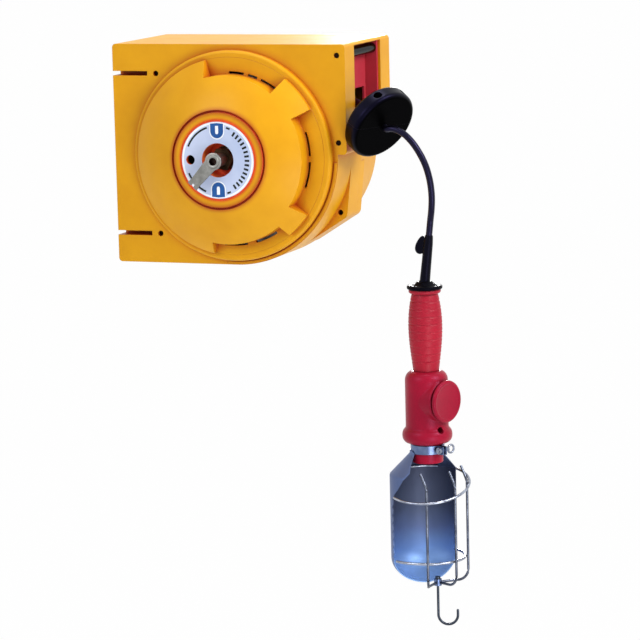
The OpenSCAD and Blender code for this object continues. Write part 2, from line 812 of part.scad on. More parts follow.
module stop_half(side) {
    color("#141416") on_stop_axis() difference() {
        intersection() {
            stop_blank();
            translate([side > 0 ? stop_split / 2 : -2 * stop_r, -stop_r - 1, -stop_t])
                cube([2 * stop_r, 2 * stop_r + 2, 2 * stop_t]);
        }
        translate([0, 0, -stop_t]) cylinder(r = cord_r + 0.2, h = 2 * stop_t);
        for (y = [-stop_screw_y, stop_screw_y]) translate([-stop_r - 1, y, 0]) rotate([0, 90, 0]) {
            cylinder(r = 4.2, h = 16);
            cylinder(r = 2.1, h = stop_r + 21);
        }
    }
}
module stop_upper_half() { stop_half(-1); }
module stop_lower_half() { stop_half(1); }

module stop_screws() {
    color("#6a6a6e") on_stop_axis() for (y = [-stop_screw_y, stop_screw_y])
        translate([-stop_r + 15, y, 0]) rotate([0, 90, 0]) {
            translate([0, 0, -3.2]) cylinder(r = 3.8, h = 3.2);
            cylinder(r = 2.1, h = 40);
        }
}

// ---------- lamp handle ----------

module at_lamp() { translate(lamp_at) children(); }
module to_lamp_front() { at_lamp() rotate([0, 0, lamp_front]) children(); }
module to_switch_front() { at_lamp() rotate([0, 0, switch_front]) children(); }

module cord_sleeve() {
    tip = (ear_l * ear_l / 4 + pow(ear_w / 2, 2)) / ear_w;
    color("#161618") at_lamp() {
        cylinder(r = sleeve_r, h = sleeve_foot);
        rotate([0, sleeve_lean, 0]) {
            translate([0, 0, 1]) cylinder(r = sleeve_r - 0.6, h = sleeve_top - 4);
            translate([0, 0, sleeve_top - 3]) cylinder(r1 = sleeve_r - 0.6, r2 = cord_r + 0.6, h = 3);
            // Leaf-shaped ear on one side
            translate([-sleeve_r + 1, ear_t / 2, ear_z]) rotate([90, 0, 0]) linear_extrude(ear_t) intersection() {
                translate([tip - ear_w / 2, 0]) circle(tip);
                translate([ear_w / 2 - tip, 0]) circle(tip);
            }
        }
    }
}

module handle_cap() {
    color("#18181a") at_lamp() difference() {
        rotate_extrude() polygon([[0, -cap_t], [cap_r - 1, -cap_t], [cap_r, -cap_t + 1], [cap_r, -1.2],
            [cap_r - 1.2, 0], [11, 0.6], [9, 3.5], [0, 3.5]]);
        translate([0, 0, -cap_t - 1]) cylinder(r = sleeve_r, h = 20);
    }
}

function grip_at(t) = grip_neck + (grip_r - grip_neck) * sin(180 * pow(t, 0.82));

module hand_grip() {
    flange = 4.6;
    belly = grip_l - flange;
    steps = 24;
    color("#b8243c") at_lamp() difference() {
        rotate_extrude() polygon(concat(
            [[0, grip_top], [16, grip_top], [17, grip_top - 1], [17, grip_top - 3.4], [15.6, grip_top - flange]],
            [for (i = [0 : steps]) [grip_at(i / steps), grip_top - flange - belly * i / steps]],
            [[0, grip_end]]));
        // Finger rings
        for (i = [0 : grip_rings - 1]) let (down = 12.6 + i * grip_ring_gap)
            translate([0, 0, grip_top - down]) rotate_extrude()
                translate([grip_at((down - flange) / belly) + 0.6, 0]) circle(1.3, $fn = 24);
        translate([0, 0, grip_end - 1]) cylinder(r = 5, h = grip_l + 2);
    }
}

module lamp_body() {
    shoulder = 10;
    steps = 7;
    color("#b4203a") difference() {
        union() {
            at_lamp() rotate_extrude() polygon(concat(
                [for (i = [0 : steps]) let (a = 90 * i / steps)
                    [grip_neck + (lamp_r - grip_neck) * sin(a), grip_end - shoulder * (1 - cos(a))]],
                [[lamp_r, body_end + rim_r], [rim_at, body_end], [neck_r, body_end],
                 [neck_r, body_end - neck_l], [0, body_end - neck_l], [0, grip_end]]));
            at_lamp() translate([0, 0, body_end + rim_r]) rotate_extrude()
                translate([rim_at, 0]) circle(rim_r, $fn = 48);
            to_switch_front() translate([0, 0, boss_z]) rotate([0, 90, 0]) cylinder(r = switch_r - 0.5, h = boss_face);
        }
        at_lamp() translate([0, 0, body_end - neck_l - 1])
            cylinder(r = socket_r + socket_wall, h = neck_l + 25);
        at_lamp() translate([0, 0, boss_z - 20]) cylinder(r = 9, h = 60);
        to_switch_front() translate([0, 0, boss_z]) rotate([0, 90, 0]) cylinder(r = stem_r + run, h = 60);
        // Fixing hole above the rim
        to_switch_front() translate([0, 0, body_end + 16]) rotate([0, 90, -14]) translate([0, 0, 17])
            cylinder(r = 3.5, h = 20);
    }
}

module switch_cap() {
    color("#b4203a") to_switch_front() translate([boss_face + cap_gap, 0, boss_z]) rotate([0, 90, 0]) {
        rotate_extrude() polygon([[0, 0], [switch_r - 0.6, 0], [switch_r, 0.6], [switch_r, switch_cap_t - 1.6],
            [switch_r - 1.2, switch_cap_t - 0.3], [switch_r - 3, switch_cap_t], [0, switch_cap_t]]);
        translate([0, 0, -cap_gap - stem_l]) cylinder(r = stem_r, h = cap_gap + stem_l + 1);
    }
}

module bulb_socket() {
    color("#c79a45") at_lamp() translate([0, 0, socket_z]) difference() {
        cylinder(r = socket_r + socket_wall, h = socket_l);
        translate([0, 0, -1]) cylinder(r = socket_r, h = socket_l - 1);
    }
}

// ---------- reflector, cage and hook ----------

module cage_collar() {
    color("#7c88a4") to_lamp_front() difference() {
        union() {
            translate([0, 0, collar_top - collar_w]) cylinder(r = collar_out, h = collar_w);
            translate([collar_out - 1.5, -ear_gap / 2 - 1.5, collar_top - collar_w]) cube([10, ear_gap + 3, collar_w]);
        }
        translate([0, 0, collar_top - collar_w - 1]) cylinder(r = collar_in, h = collar_w + 2);
        translate([0, -ear_gap / 2, collar_top - collar_w - 1]) cube([40, ear_gap, collar_w + 2]);
        translate([collar_out + 4.5, 10, collar_top - collar_w / 2]) rotate([90, 0, 0]) cylinder(r = 2, h = 20);
    }
}

module collar_screw() {
    color("#c8ccd4") to_lamp_front() translate([collar_out + 4.5, 0, collar_top - collar_w / 2]) {
        rotate([90, 0, 0]) translate([0, 0, -9]) cylinder(r = 2, h = 16);
        rotate([90, 0, 0]) translate([0, 0, ear_gap / 2 + 1.5]) cylinder(r = 3.6, h = 3);
        // Wire loop for the fingers
        translate([0, 12.5, 0]) rotate([0, 90, 0]) rotate_extrude() translate([4.2, 0]) circle(1.1, $fn = 20);
    }
}

// Half-round sheet, open to the front of the lamp
module reflector() {
    steps = 6;
    function dome(r, l) = [for (i = [0 : steps]) let (a = 90 * i / steps)
        [r * cos(a), shade_round - l * sin(a)]];
    inner_r = shade_r - shade_t;
    color("#8ea4cc") to_lamp_front() rotate([0, 0, 90]) rotate_extrude(angle = shade_angle) polygon(concat(
        [[collar_out, shade_top], [collar_out + shade_t, shade_top], [collar_out + shade_t, shade_neck],
         [shade_r, shade_shoulder]],
        dome(shade_r, shade_dome),
        [for (p = [steps : -1 : 0]) dome(inner_r, shade_dome - shade_t)[p]],
        [[inner_r, shade_shoulder + 0.4], [collar_out, shade_neck + 0.6]]));
}

module ring_arc(r, z, a0, a1) {
    translate([0, 0, z]) rotate([0, 0, a0]) rotate_extrude(angle = a1 - a0)
        translate([r, 0]) circle(wire_r, $fn = 24);
}

function polar(r, a, z) = [r * cos(a), r * sin(a), z];

// The upper ring sits askew round the wires
function ring1_at(a) = polar(ring1_r, a, ring1_z - ring1_r * tan(ring1_tilt) * cos(a - ring1_low));

module cage_rings() {
    color("#aab0bc") to_lamp_front() {
        swept_tube([for (i = [-20 : 20]) ring1_at(5 * i)], wire_r, 8, [0, 0, 1]);
        ring_arc(ring2_r, ring2_z, -100, 100);
        ring_arc(back_ring_r, shade_neck - back_ring_drop, 95, 250);
    }
}

// One cage wire in the upright plane at angle a, from its bent-in tip down to the hook bush
function cage_wire_route(a) =
    let (turn = [for (k = [0 : 4]) let (b = 90 * k / 4)
            [cage_r - cage_bend * (1 - cos(b)), hook_top + cage_bend * (1 - sin(b))]],
         end = [cage_out, 0, hook_top] + (4.2 + eps) * unit(polar(cage_r - cage_bend, a, 0) - [cage_out, 0, 0]))
    concat([for (k = [[9, 18.6], [5.5, 13], [2.5, 8], [0.7, 4]]) polar(cage_r, a, ring1_z + k[1]) - [k[0], 0, 0]],
           [polar(cage_r, a, ring1_z), polar(cage_r, a, (ring1_z + ring2_z) / 2)],
           [for (p = turn) polar(p[0], a, p[1])], [end]);

module cage_wires() {
    color("#9aa2b2") to_lamp_front() for (a = wire_angles)
        swept_tube(cage_wire_route(a), wire_r, 8, [-sin(a), cos(a), 0]);
}

module hook_bush() {
    color("#8a92a2") to_lamp_front() translate([cage_out, 0, hook_top - bush_half]) difference() {
        cylinder(r = 4.2, h = 2 * bush_half);
        translate([0, 0, -1]) cylinder(r = wire_r + run, h = 2 * bush_half + 2);
    }
}

module lamp_hook() {
    color("#565e6c") to_lamp_front() translate([cage_out, 0, hook_top]) rotate([0, 0, hook_turn - lamp_front]) {
        translate([0, 0, -hook_stem]) cylinder(r = wire_r, h = hook_stem + bush_half + 2.5, $fn = 32);
        translate([0, 0, bush_half + seat]) cylinder(r = 2.8, h = 2.4);
        translate([hook_r, 0, -hook_stem]) rotate([90, 0, 0]) rotate([0, 0, 180])
            rotate_extrude(angle = 180) translate([hook_r, 0]) circle(wire_r, $fn = 24);
        translate([2 * hook_r, 0, -hook_stem]) cylinder(r = wire_r, h = 5, $fn = 24);
        translate([2 * hook_r, 0, -hook_stem + 5]) sphere(wire_r, $fn = 24);
    }
}

front_shell();
back_shell();
spring_cover();
hub_plate();
dial_plate();
housing_screws();
roller_screws();
mouth_guide();
upper_roller();
lower_roller();
main_shaft();
shaft_nut();
tension_lever();
spring_arbor();
power_spring();
spring_case();
drum_front_flange();
drum_core();
drum_back_flange();
drum_bushes();
ratchet_ring();
ratchet_pawl();
pawl_pin();
slip_disc();
slip_rings();
brush_holder();
carbon_brushes();
feed_gland();
cord_core();
cord_winding();
cord_lead();
cord_free();
stop_upper_half();
stop_lower_half();
stop_screws();
cord_sleeve();
handle_cap();
hand_grip();
lamp_body();
switch_cap();
bulb_socket();
cage_collar();
collar_screw();
reflector();
cage_rings();
cage_wires();
hook_bush();
lamp_hook();
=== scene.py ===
"""Spring-return cord reel with a caged hand lamp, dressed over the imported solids.

Metres. +X runs from the wall to the cord mouth, -Y is the dial side, +Z is up. The sizes and places of
the pieces made here are written in millimetres, and become metres when each piece is settled.
"""
import math

import bpy
from mathutils import Matrix, Vector


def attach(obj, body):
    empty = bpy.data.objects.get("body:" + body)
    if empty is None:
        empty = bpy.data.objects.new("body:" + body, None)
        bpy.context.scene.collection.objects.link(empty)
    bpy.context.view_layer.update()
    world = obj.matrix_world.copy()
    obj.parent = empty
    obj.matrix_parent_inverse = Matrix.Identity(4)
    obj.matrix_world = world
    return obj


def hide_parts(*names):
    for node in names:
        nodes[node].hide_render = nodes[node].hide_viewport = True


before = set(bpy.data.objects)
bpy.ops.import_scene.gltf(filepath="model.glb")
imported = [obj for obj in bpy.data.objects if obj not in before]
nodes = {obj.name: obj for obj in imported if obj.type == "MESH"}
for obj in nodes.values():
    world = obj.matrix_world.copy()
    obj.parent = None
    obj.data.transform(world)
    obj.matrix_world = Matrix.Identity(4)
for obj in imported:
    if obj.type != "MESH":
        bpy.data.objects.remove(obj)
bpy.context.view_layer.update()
bpy.ops.object.select_all(action="DESELECT")

# ---------------------------------------------------------------- shared places and sizes
MM = 0.001
# The drum's axis
DRUM = Vector((138, 0, -0.5))
# Centre of the lamp handle's cap; the lamp hangs straight down from it
LAMP = Vector((340, -46, -136.5))
# Lean of the cord's last stretch and of the sleeve round it
LEAN = math.radians(6.5)
# Centre of the cord stop and the way its cord bore runs
STOP = Vector((296.5, -55.7, 35.6))
STOP_TILT, STOP_YAW = math.radians(121.2), math.radians(-27.3)
STOP_AXIS = Vector((math.sin(STOP_TILT) * math.cos(STOP_YAW), math.sin(STOP_TILT) * math.sin(STOP_YAW),
                    math.cos(STOP_TILT)))
# Radius of the cord and of the cage's wire
CORD_R, WIRE_R = 3.5, 1.4

# ---------------------------------------------------------------- camera
AZIMUTH, PITCH, ROLL = (math.radians(a) for a in (20.8, 9.2, -1.4))
# The eye's place in metres; focal length and width of the frame in pixels; sensor width in millimetres
EYE = Vector((1.391, -3.125, 0.3551))
FOCAL_PX, FRAME_PX, SENSOR_MM = 3125, 640, 36
look = Vector((-math.sin(AZIMUTH) * math.cos(PITCH), math.cos(AZIMUTH) * math.cos(PITCH), -math.sin(PITCH)))
level = Vector((math.cos(AZIMUTH), math.sin(AZIMUTH), 0))
upright = level.cross(look)
right = level * math.cos(ROLL) + upright * math.sin(ROLL)
up = upright * math.cos(ROLL) - level * math.sin(ROLL)
lens = bpy.data.cameras.new("view")
lens.sensor_width = SENSOR_MM
lens.lens = FOCAL_PX / FRAME_PX * SENSOR_MM
lens.clip_start, lens.clip_end = 0.1, 120
camera = bpy.data.objects.new("view", lens)
bpy.context.scene.collection.objects.link(camera)
camera.matrix_world = Matrix((
    (right.x, up.x, -look.x, EYE.x),
    (right.y, up.y, -look.y, EYE.y),
    (right.z, up.z, -look.z, EYE.z),
    (0, 0, 0, 1)))
bpy.context.scene.camera = camera
bpy.context.scene.view_settings.view_transform = "Standard"


# ---------------------------------------------------------------- materials
def linear(hex_colour):
    """An sRGB hex colour as the linear values that the shader takes."""
    parts = [int(hex_colour[i:i + 2], 16) / 255 for i in (1, 3, 5)]
    return [p / 12.92 if p <= 0.04045 else ((p + 0.055) / 1.055) ** 2.4 for p in parts] + [1.0]


def output_of(source):
    """A node's first output, or the output itself where one is given."""
    return source.outputs[0] if hasattr(source, "outputs") else source


def add(tree, kind, settings=None, links=None):
    """Adds a node; settings are its own properties and socket values, links are what feeds its sockets.

    A ramp's stops are (position, hex colour) pairs.
    """
    node = tree.nodes.new("ShaderNode" + kind)
    for name, value in (settings or {}).items():
        if name == "stops":
            points = node.color_ramp.elements
            while len(points) < len(value):
                points.new(0.5)
            for point, (at, colour) in zip(points, value):
                point.position, point.color = at, linear(colour)
        elif isinstance(name, int) or name in node.inputs.keys():
            node.inputs[name].default_value = value
        else:
            setattr(node, name, value)
    for name, source in (links or {}).items():
        tree.links.new(output_of(source), node.inputs[name])
    return node


def per_mm(size_mm):
    """The scale at which a pattern's features are about size_mm across."""
    return 1000 / size_mm


def start(name):
    """A new material with its tree, shader and the point that is shaded."""
    material = bpy.data.materials.new(name)
    material.use_nodes = True
    tree = material.node_tree
    shader = tree.nodes["Principled BSDF"]
    place = add(tree, "TexCoord").outputs["Object"]
    return material, tree, shader, place


def feed(tree, shader, sockets):
    """Links outputs to the shader's sockets by name."""
    for name, source in sockets.items():
        tree.links.new(output_of(source), shader.inputs[name])


def own_normal(tree):
    """The surface's normal in the piece's own frame, so that it turns with the piece."""
    facing = add(tree, "NewGeometry").outputs["True Normal"]
    spaces = {"vector_type": "NORMAL", "convert_from": "WORLD", "convert_to": "OBJECT"}
    return add(tree, "VectorTransform", spaces, {"Vector": facing})


def fine_relief(tree, height, depth_mm, strength, edge_mm):
    """The normal of a surface raised by height times depth_mm, with its edges rounded to edge_mm."""
    rounded = add(tree, "Bevel", {"Radius": edge_mm * MM, "samples": 4})
    return add(tree, "Bump", {"Distance": depth_mm * MM, "Strength": strength},
               {"Height": height, "Normal": rounded})


def painted_crevice_shade(tree, paint, colour, reach_mm, most=0.92):
    """The paint with painted shade: a deeper colour laid in grooves and corners within reach_mm of another
    wall, where shade falls.
    """
    near = add(tree, "AmbientOcclusion", {"Distance": reach_mm * MM, "samples": 8}).outputs["AO"]
    hidden = add(tree, "MapRange", {"From Min": 0.9, "From Max": 0.3, "To Max": most}, {"Value": near})
    return add(tree, "Mix", {"data_type": "RGBA", 7: linear(colour)}, {0: hidden, 6: paint}).outputs[2]


def moulded(name, colour, deeper, roughness, grain_mm=0.9, depth_mm=0.03, edge_mm=0.5, shine=0.3, tint=None,
            crevice_shade=None, reach_mm=14, rings=(), bloom=None, matt_along=None):
    """Injection-moulded plastic or rubber: an even colour that drifts a little, with fine spark grain.

    rings lists bands of painted shade along the grooves round the drum's axis as (radius mm, half width mm,
    share, colour);
    bloom is the colour of a faint waxy film that shows where the surface turns away;
    matt_along is a direction whose flat faces keep the mould's dull texture, while the rest is worn smooth.
    """
    material, tree, shader, place = start(name)
    drift = add(tree, "TexNoise", {"Scale": per_mm(60), "Detail": 4, "Roughness": 0.6}, {"Vector": place})
    paint = add(tree, "ValToRGB", {"stops": [(0.35, colour), (0.68, deeper)]}, {"Fac": drift})
    # Bands of painted shade along the grooves round the drum's axis
    if rings:
        axis = (DRUM.x * MM, 0, DRUM.z * MM)
        flat = add(tree, "VectorMath", {"operation": "MULTIPLY", 1: (1, 0, 1)}, {0: place})
        out = add(tree, "VectorMath", {"operation": "DISTANCE", 1: axis}, {0: flat}).outputs["Value"]
        for radius, half, share, shadow_colour in rings:
            off = add(tree, "Math", {"operation": "SUBTRACT", 1: radius * MM}, {0: out})
            off = add(tree, "Math", {"operation": "ABSOLUTE"}, {0: off})
            band = add(tree, "MapRange", {"From Min": half * MM, "From Max": 0, "To Max": share,
                                          "interpolation_type": "SMOOTHSTEP"}, {"Value": off})
            paint = add(tree, "Mix", {"data_type": "RGBA", 7: linear(shadow_colour)}, {0: band, 6: paint}).outputs[2]
    # Painted shade: a deeper colour in grooves and corners
    if crevice_shade:
        paint = painted_crevice_shade(tree, paint, crevice_shade, reach_mm)
    wear = add(tree, "TexNoise", {"Scale": per_mm(14), "Detail": 5, "Roughness": 0.65}, {"Vector": place})
    rough = add(tree, "MapRange", {"To Min": roughness - 0.05, "To Max": roughness + 0.07}, {"Value": wear})
    grain = add(tree, "TexNoise", {"Scale": per_mm(grain_mm), "Detail": 2}, {"Vector": place})
    relief = fine_relief(tree, grain, depth_mm, 0.5, edge_mm)
    feed(tree, shader, {"Base Color": paint, "Roughness": rough, "Normal": relief})
    shader.inputs["IOR"].default_value = 1.5
    shader.inputs["Specular IOR Level"].default_value = shine
    if matt_along:
        flat = add(tree, "VectorMath", {"operation": "DOT_PRODUCT", 1: tuple(matt_along)},
                   {0: own_normal(tree)})
        flat = add(tree, "Math", {"operation": "ABSOLUTE"}, {0: flat.outputs["Value"]})
        gloss = add(tree, "MapRange", {"From Min": 0.6, "From Max": 0.97, "To Min": shine, "To Max": 0.01},
                    {"Value": flat})
        feed(tree, shader, {"Specular IOR Level": gloss})
    if tint:
        shader.inputs["Specular Tint"].default_value = linear(tint)
    if bloom:
        shader.inputs["Sheen Weight"].default_value = 0.3
        shader.inputs["Sheen Roughness"].default_value = 0.25
        shader.inputs["Sheen Tint"].default_value = linear(bloom)
    return material


def metal(name, colour, darker, roughness, crevice_shade=None):
    """Bare or plated metal with fine drawn or rolled marks along X and a duller film in places."""
    material, tree, shader, place = start(name)
    film = add(tree, "TexNoise", {"Scale": per_mm(9), "Detail": 5, "Roughness": 0.62}, {"Vector": place})
    paint = add(tree, "ValToRGB", {"stops": [(0.36, colour), (0.66, darker)]}, {"Fac": film})
    # Where a crevice colour is given, it is painted shade in grooves and corners
    if crevice_shade:
        paint = painted_crevice_shade(tree, paint, crevice_shade, 8, 1.0)
    drawn = add(tree, "Mapping", {"Scale": (0.06, 1, 1)}, {"Vector": place})
    marks = add(tree, "TexNoise", {"Scale": per_mm(0.5), "Detail": 3}, {"Vector": drawn})
    rough = add(tree, "MapRange", {"To Min": roughness - 0.08, "To Max": roughness + 0.1}, {"Value": marks})
    relief = fine_relief(tree, marks, 0.012, 0.4, 0.2)
    feed(tree, shader, {"Base Color": paint, "Roughness": rough, "Normal": relief})
    shader.inputs["Metallic"].default_value = 1.0
    return material


def plated_sheet(name):
    """Bright-plated sheet whose colour is painted reflection and shade: slate near the bulb socket, clear
    blue at its foot.
    """
    material, tree, shader, place = start(name)
    # Heights in metres between which the colour runs, and how far a blotch shifts it
    foot, top, shift = -0.455, -0.315, 0.008
    height = add(tree, "SeparateXYZ", links={"Vector": place}).outputs["Z"]
    cloud = add(tree, "TexNoise", {"Scale": per_mm(34), "Detail": 3}, {"Vector": place})
    blotch = add(tree, "MapRange", {"To Min": -shift, "To Max": shift}, {"Value": cloud})
    height = add(tree, "Math", {"operation": "ADD"}, {0: height, 1: blotch})
    along = add(tree, "MapRange", {"From Min": foot, "From Max": top}, {"Value": height})
    # Painted reflection and shade inside: bright blue at the foot, dark slate up towards the neck
    inside = add(tree, "ValToRGB", {"stops": [
        (0.0, "#88AEE2"), (0.2, "#5F80B8"), (0.36, "#4A5A82"),
        (0.5, "#38425C"), (0.84, "#2E3650"), (0.97, "#5C6E94")]}, {"Fac": along})
    # The outer side, where the surface faces away from the lamp's axis, carries a paler painted reflection
    # and is more metallic
    axis = (LAMP.x * MM, LAMP.y * MM, 0)
    spread = add(tree, "VectorMath", {"operation": "SUBTRACT", 1: axis}, {0: place})
    spread = add(tree, "VectorMath", {"operation": "MULTIPLY", 1: (1, 1, 0)}, {0: spread})
    away = add(tree, "VectorMath", {"operation": "DOT_PRODUCT"}, {0: spread, 1: own_normal(tree)})
    outer = add(tree, "MapRange", {"From Min": 0.004, "From Max": 0.012, "To Max": 0.8},
                {"Value": away.outputs["Value"]})
    paint = add(tree, "Mix", {"data_type": "RGBA", 7: linear("#5C6E9A")}, {0: outer, 6: inside}).outputs[2]
    polish = add(tree, "MapRange", {"To Min": 0.45, "To Max": 0.85}, {"Value": outer})
    drawn = add(tree, "Mapping", {"Scale": (1, 1, 0.08)}, {"Vector": place})
    marks = add(tree, "TexNoise", {"Scale": per_mm(1.2), "Detail": 3}, {"Vector": drawn})
    rough = add(tree, "MapRange", {"To Min": 0.42, "To Max": 0.54}, {"Value": marks})
    relief = fine_relief(tree, marks, 0.01, 0.3, 0.3)
    feed(tree, shader, {"Base Color": paint, "Metallic": polish, "Roughness": rough, "Normal": relief})
    return material


# Polypropylene case, spark-eroded mould: a soft satin yellow-orange, with red-brown painted shade in its
# grooves and corners
polypropylene = {"colour": "#DC9E10", "deeper": "#D2930C", "roughness": 0.38, "grain_mm": 0.8,
                 "edge_mm": 0.8, "shine": 0.2}
case_yellow = moulded("moulded_polypropylene", **polypropylene, crevice_shade="#B03A10", reach_mm=13)
# The cover is the same polypropylene, with a band of painted shade along the groove round the hub
hub_groove_shade = (51.2, 6.5, 0.8, "#A83212")
cover_yellow = moulded("moulded_polypropylene_cover", **polypropylene, crevice_shade="#A8320E", reach_mm=13,
                       rings=[hub_groove_shade])
# The hub is the same polypropylene, with painted shade in a ring round the label and in the deep recess
label_ring_shade = (42, 4.4, 0.85, "#D8521A")
hub_yellow = moulded("moulded_polypropylene_hub", **polypropylene, crevice_shade="#FF5A3C", reach_mm=20,
                     rings=[hub_groove_shade, label_ring_shade])
# Printed polyester label: smooth, cool white
label_white = moulded("polyester_label", "#C8D2EC", "#B0BEDE", 0.3, grain_mm=2.0, depth_mm=0.004,
                      edge_mm=0.1)
# Nylon guide, dull from its mould; acetal rollers, turned smooth and near black
guide_red = moulded("moulded_nylon_red", "#BE3644", "#B0303E", 0.55, grain_mm=1.0, depth_mm=0.02, shine=0.08)
roller_black = moulded("acetal_black", "#020203", "#030304", 0.09, grain_mm=1.2, depth_mm=0.004,
                       edge_mm=0.3, shine=0.04)
# Extruded flexible PVC: near black, with a violet sheen where light grazes it
cord_black = moulded("flexible_pvc_jacket", "#040406", "#030305", 0.3, grain_mm=1.5, depth_mm=0.02,
                     edge_mm=0.2, shine=0.42, tint="#A49CF0", bloom="#5E569C")
# Moulded PVC sleeve and rubber cap: duller than the cord
sleeve_black = moulded("moulded_pvc_sleeve", "#040405", "#050506", 0.36, grain_mm=1.5, depth_mm=0.02,
                       edge_mm=0.2, shine=0.14, tint="#A8A4E8")
cap_black = moulded("moulded_rubber_cap", "#040406", "#060608", 0.46, grain_mm=1.6, edge_mm=0.6, shine=0.06,
                    tint="#A8A4E8")
# Moulded rubber stop: a rim worn smooth that shines violet, and flat faces that stay matt black
stop_black = moulded("moulded_rubber_black", "#010101", "#020202", 0.32, grain_mm=1.6, edge_mm=1.2,
                     shine=0.2, tint="#8E86E0", matt_along=STOP_AXIS)
# Soft vinyl grip and glossier ABS lamp body: crimson, with painted shade making it deeper in the grooves
grip_red = moulded("moulded_vinyl_red", "#A4122B", "#961028", 0.42, grain_mm=1.6, edge_mm=0.4, shine=0.22,
                   crevice_shade="#6E1020", reach_mm=3)
lamp_red = moulded("moulded_abs_red", "#9A102A", "#8A0E26", 0.36, grain_mm=1.8, depth_mm=0.02, edge_mm=0.8,
                   shine=0.25, tint="#F0A8E0", crevice_shade="#70101F", reach_mm=8)
# Moulded polyamide gland, pressed phenolic resin and carbon, and a brown-black lacquer on sheet steel
gland_black = moulded("moulded_polyamide", "#101012", "#161618", 0.45)
resin_brown = moulded("phenolic_resin", "#5A3324", "#4A2A1E", 0.4)
carbon_grey = moulded("pressed_carbon", "#2A2A2C", "#202022", 0.6)
lacquer_black = moulded("lacquered_sheet", "#1C0E0A", "#140A08", 0.5, grain_mm=2.0, depth_mm=0.01,
                        edge_mm=0.2, shine=0.05)
# Steels of the works: ground bright, blackened in oil, blued by tempering, and a rough grey casting
# The ground and blackened steels get painted shade, darker in their grooves and corners
steel_plain = metal("ground_steel", "#9A9A96", "#7C7C78", 0.38, crevice_shade="#2A1410")
steel_dark = metal("blackened_steel", "#241812", "#160E0A", 0.5, crevice_shade="#0C0604")
spring_blue = metal("blued_spring_steel", "#5A6470", "#444C58", 0.3)
iron_grey = metal("cast_iron_grey", "#6A6A70", "#4E4E54", 0.55)
# Brass, dark with age outside and bright inside, and pale rolled aluminium
brass_dark = metal("tarnished_brass", "#4A3626", "#2A1E16", 0.3)
brass_bright = metal("turned_brass", "#CFA552", "#B48A3C", 0.25)
sheet_alloy = metal("rolled_aluminium", "#C4C4C0", "#A8A8A4", 0.35)
# Plated steel of the lamp: a bluish zinc collar, bright rings, greyer wires and hook, and a collar screw made
# brighter as a painted highlight
collar_zinc = metal("zinc_plated_steel", "#6C7C9E", "#54648A", 0.3)
wire_steel = metal("plated_wire", "#646A78", "#3E4250", 0.22)
ring_steel = metal("plated_ring_wire", "#B4BAC8", "#787E90", 0.2)
screw_highlight = metal("plated_screw_painted_highlight", "#A8AEBC", "#7C8496", 0.25)
hook_steel = metal("plated_wire_dull", "#444A56", "#2C323C", 0.34)
# Pressed and bright-plated reflector sheet
shade_steel = plated_sheet("bright_plated_sheet")

finishes = {
    case_yellow: "front_shell back_shell",
    cover_yellow: "spring_cover",
    hub_yellow: "hub_plate",
    label_white: "dial_plate",
    steel_dark: "housing_screws roller_screws stop_screws",
    guide_red: "mouth_guide",
    roller_black: "upper_roller lower_roller",
    steel_plain: "main_shaft tension_lever spring_arbor pawl_pin",
    brass_dark: "shaft_nut",
    spring_blue: "power_spring",
    lacquer_black: "spring_case",
    sheet_alloy: "drum_front_flange drum_core drum_back_flange",
    brass_bright: "drum_bushes slip_rings bulb_socket",
    iron_grey: "ratchet_ring ratchet_pawl",
    resin_brown: "slip_disc brush_holder",
    carbon_grey: "carbon_brushes",
    gland_black: "feed_gland",
    cord_black: "cord_core cord_winding cord_lead cord_free",
    sleeve_black: "cord_sleeve",
    stop_black: "stop_upper_half stop_lower_half",
    cap_black: "handle_cap",
    grip_red: "hand_grip",
    lamp_red: "lamp_body switch_cap",
    collar_zinc: "cage_collar hook_bush",
    screw_highlight: "collar_screw",
    shade_steel: "reflector",
    wire_steel: "cage_wires",
    ring_steel: "cage_rings",
    hook_steel: "lamp_hook",
}
for material, names in finishes.items():
    for name in names.split():
        nodes[name].data.materials.clear()
        nodes[name].data.materials.append(material)


# ---------------------------------------------------------------- studio
def seen_plainly(tree):
    """1 for rays from the camera, straight or by way of a shiny or clear surface, and 0 for other light."""
    path = add(tree, "LightPath")
    seen = add(tree, "Math", {"operation": "MAXIMUM"},
               {0: path.outputs["Is Camera Ray"], 1: path.outputs["Is Glossy Ray"]})
    return add(tree, "Math", {"operation": "MAXIMUM"}, {0: seen, 1: path.outputs["Is Transmission Ray"]})


def lamp(name, place, aim, size, power):
    """A round area lamp of the given size and power, at a place and aimed at a point, in metres and watts."""
    light = bpy.data.lights.new(name, "AREA")
    light.shape, light.size, light.energy = "DISK", size, power
    holder = bpy.data.objects.new(name, light)
    bpy.context.scene.collection.objects.link(holder)
    holder.location = place
    holder.rotation_mode = "QUATERNION"
    holder.rotation_quaternion = (Vector(aim) - Vector(place)).to_track_quat("-Z", "Y")


WHITE = (1, 1, 1, 1)
world = bpy.context.scene.world or bpy.data.worlds.new("studio")
bpy.context.scene.world = world
world.use_nodes = True
tree = world.node_tree
tree.nodes.clear()
soft = add(tree, "Background", {"Color": WHITE, "Strength": 0.45})
white = add(tree, "Background", {"Color": WHITE, "Strength": 1.0})
mixed = add(tree, "MixShader", links={0: seen_plainly(tree), 1: soft, 2: white})
add(tree, "OutputWorld", links={"Surface": mixed})

lamp("key", (-0.9, -2.3, 1.3), (0.18, 0, -0.08), 1.3, 24)
lamp("side", (2.3, -0.5, 1.3), (0.25, 0, -0.05), 1.2, 46)
lamp("low", (1.7, -1.5, -0.8), (0.25, 0, -0.05), 1.0, 14)
lamp("top", (0.2, 0.1, 2.4), (0.18, 0, 0), 1.0, 30)
lamp("back", (-0.5, 2.5, 0.36), (0.24, 0, 0.13), 0.3, 26)

